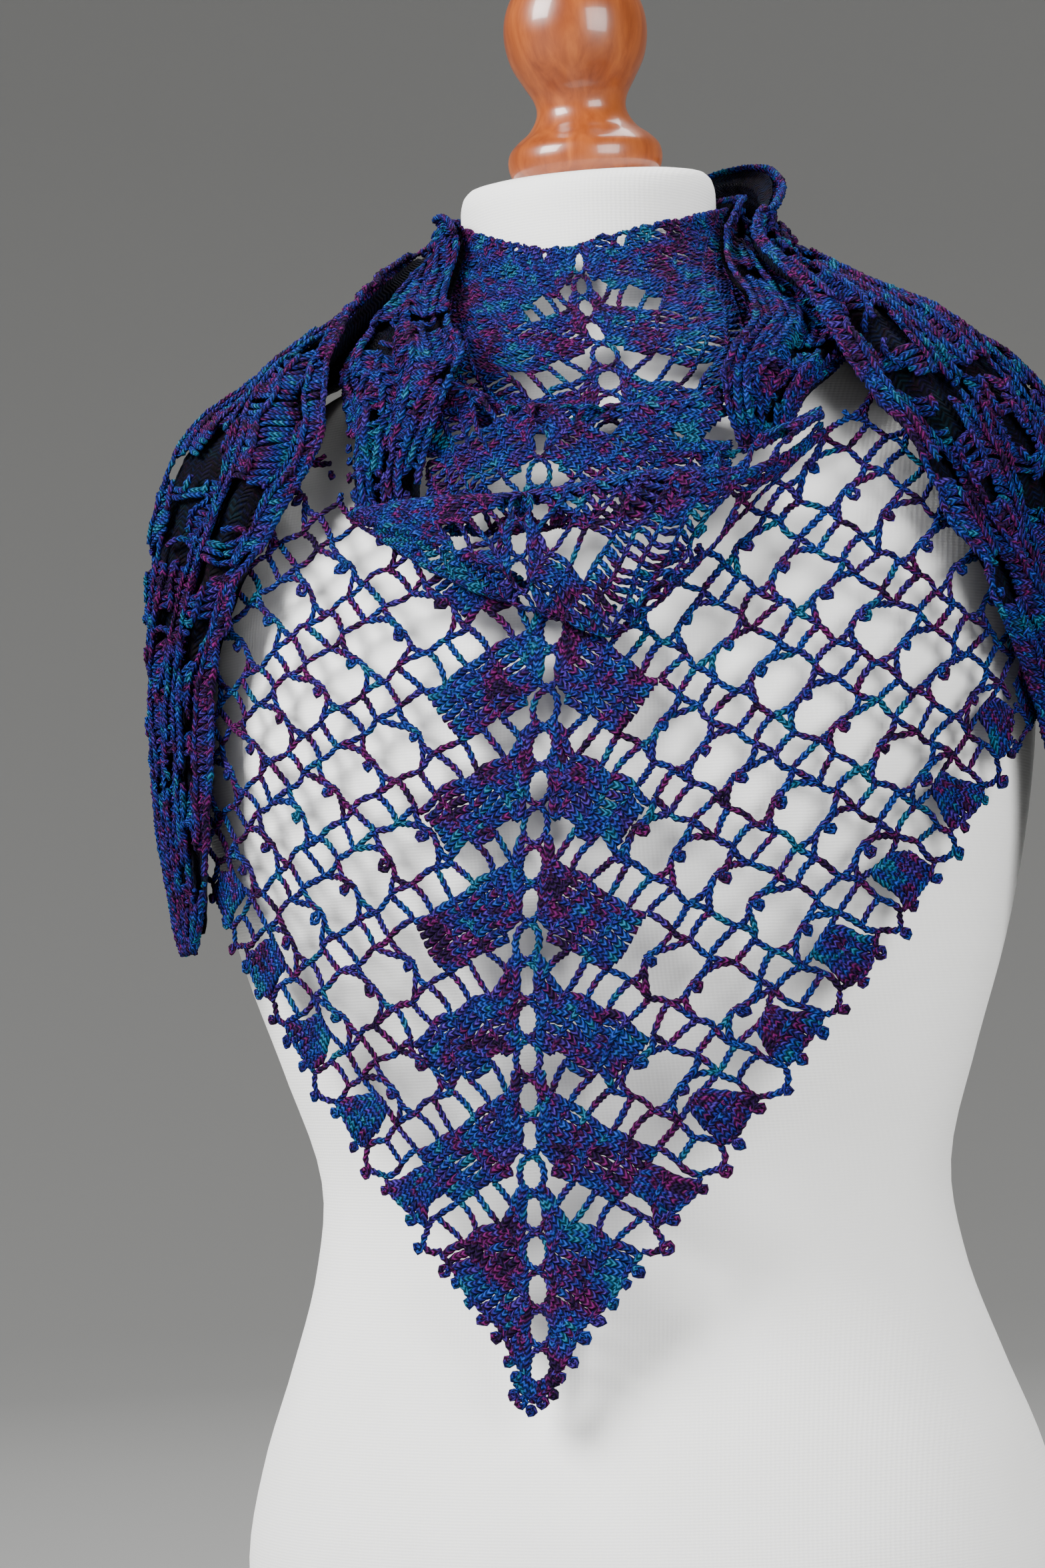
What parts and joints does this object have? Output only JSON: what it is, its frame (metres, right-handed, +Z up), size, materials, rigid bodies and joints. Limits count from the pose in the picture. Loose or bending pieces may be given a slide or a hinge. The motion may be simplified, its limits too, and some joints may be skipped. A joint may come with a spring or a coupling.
{
  "type": "lace shawl on a limbless dress form",
  "caption": "Crocheted lace triangle shawl worn point down in front, draped in a cowl round the neck with hanging tails, on a limbless dress form with a turned wooden neck knob.",
  "frame": {"origin": "on the floor under the middle of the bounding box, in the plane of the form's flat base", "axes": "+Z up, -Y the way the form faces, +X towards the wearer's left, which is the viewer's right"},
  "size_m": [0.3979, 0.2766, 0.7384],
  "materials": {
    "jersey": "matt fine knit",
    "wood": "gloss varnish",
    "yarn": "matt, slightly fuzzy"
  },
  "bodies": {
    "root": {"front_panel": "yarn", "shoulder_left": "yarn", "shoulder_right": "yarn", "cowl_upper": "yarn", "cowl_middle": "yarn", "cowl_lower": "yarn", "neck_wrap_left": "yarn", "neck_wrap_right": "yarn", "tail_left": "yarn", "tail_right": "yarn", "dress_form": "jersey", "neck_knob": "wood"}
  },
  "joints": []
}
